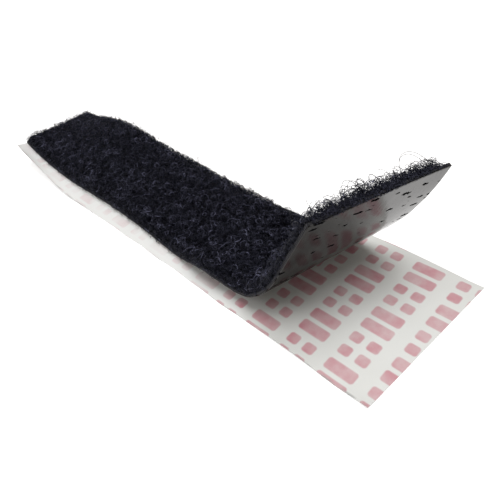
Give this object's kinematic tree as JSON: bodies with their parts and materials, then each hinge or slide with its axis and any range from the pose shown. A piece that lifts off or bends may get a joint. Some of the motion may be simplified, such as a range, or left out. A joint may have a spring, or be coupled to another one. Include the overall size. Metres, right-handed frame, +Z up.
{
  "type": "self-adhesive loop tape strip",
  "caption": "Cut strip of self-adhesive loop tape on a printed release liner, with one end peeled up to show the adhesive.",
  "frame": {"origin": "centre of the footprint of the whole strip, on the surface that it lies on", "axes": "+X along the strip towards the peeled end, +Y across the strip towards its far edge, +Z up from the liner through the tape to the loops"},
  "size_m": [0.1276, 0.0304, 0.0246],
  "materials": {
    "liner": "silicone-coated film, semi-gloss, slightly translucent",
    "adhesive": "pressure-sensitive adhesive, glossy grey",
    "ground": "woven black nylon with a bound selvedge",
    "pile": "brushed black nylon loops"
  },
  "bodies": {
    "strip_middle": {"liner_middle": "liner", "adhesive_middle": "adhesive", "ground_middle": "ground", "pile_middle": "pile"},
    "strip_tail": {"liner_tail": "liner", "adhesive_tail": "adhesive", "ground_tail": "ground", "pile_tail": "pile"},
    "strip_front": {"liner_front": "liner", "adhesive_front": "adhesive", "ground_front": "ground", "pile_front": "pile"},
    "bend_1": {"adhesive_bend_1": "adhesive", "ground_bend_1": "ground", "pile_bend_1": "pile"},
    "bend_2": {"adhesive_bend_2": "adhesive", "ground_bend_2": "ground", "pile_bend_2": "pile"},
    "bend_3": {"adhesive_bend_3": "adhesive", "ground_bend_3": "ground", "pile_bend_3": "pile"},
    "bend_4": {"adhesive_bend_4": "adhesive", "ground_bend_4": "ground", "pile_bend_4": "pile"},
    "bend_5": {"adhesive_bend_5": "adhesive", "ground_bend_5": "ground", "pile_bend_5": "pile"},
    "flap": {"adhesive_flap": "adhesive", "ground_flap": "ground", "pile_flap": "pile"}
  },
  "joints": [
    {"name": "tail_bend", "type": "hinge", "parent": "strip_middle", "child": "strip_tail", "pos_m": [-0.01651, 0, 0], "axis": [0, 1, 0], "range_deg": [0, 40]},
    {"name": "front_bend", "type": "hinge", "parent": "strip_middle", "child": "strip_front", "pos_m": [0.01149, 0, 0], "axis": [0, -1, 0], "range_deg": [0, 30]},
    {"name": "peel", "type": "hinge", "parent": "strip_front", "child": "bend_1", "pos_m": [0.02691, -0.01286, 0.0002], "axis": [-0.2944, -0.9557, 0], "range_deg": [-11.1, 13.75]},
    {"name": "peel_2", "type": "hinge", "parent": "bend_1", "child": "bend_2", "pos_m": [0.03049, -0.01284, 0.00088], "axis": [-0.2944, -0.9557, 0], "range_deg": [-11.1, 13.75]},
    {"name": "peel_3", "type": "hinge", "parent": "bend_2", "child": "bend_3", "pos_m": [0.03388, -0.01276, 0.00221], "axis": [-0.2944, -0.9557, 0], "range_deg": [-11.1, 13.75]},
    {"name": "peel_4", "type": "hinge", "parent": "bend_3", "child": "bend_4", "pos_m": [0.03697, -0.01259, 0.00415], "axis": [-0.2944, -0.9557, 0], "range_deg": [-11.1, 13.75]},
    {"name": "peel_5", "type": "hinge", "parent": "bend_4", "child": "bend_5", "pos_m": [0.03964, -0.01229, 0.00661], "axis": [-0.2944, -0.9557, 0], "range_deg": [-11.1, 13.75]},
    {"name": "peel_6", "type": "hinge", "parent": "bend_5", "child": "flap", "pos_m": [0.0418, -0.01183, 0.00951], "axis": [-0.2944, -0.9557, 0], "range_deg": [-11.1, 13.75]}
  ],
  "couplings": [
    {"joint": "peel_2", "follows": "peel", "ratio": 1},
    {"joint": "peel_3", "follows": "peel", "ratio": 1},
    {"joint": "peel_4", "follows": "peel", "ratio": 1},
    {"joint": "peel_5", "follows": "peel", "ratio": 1},
    {"joint": "peel_6", "follows": "peel", "ratio": 1}
  ]
}
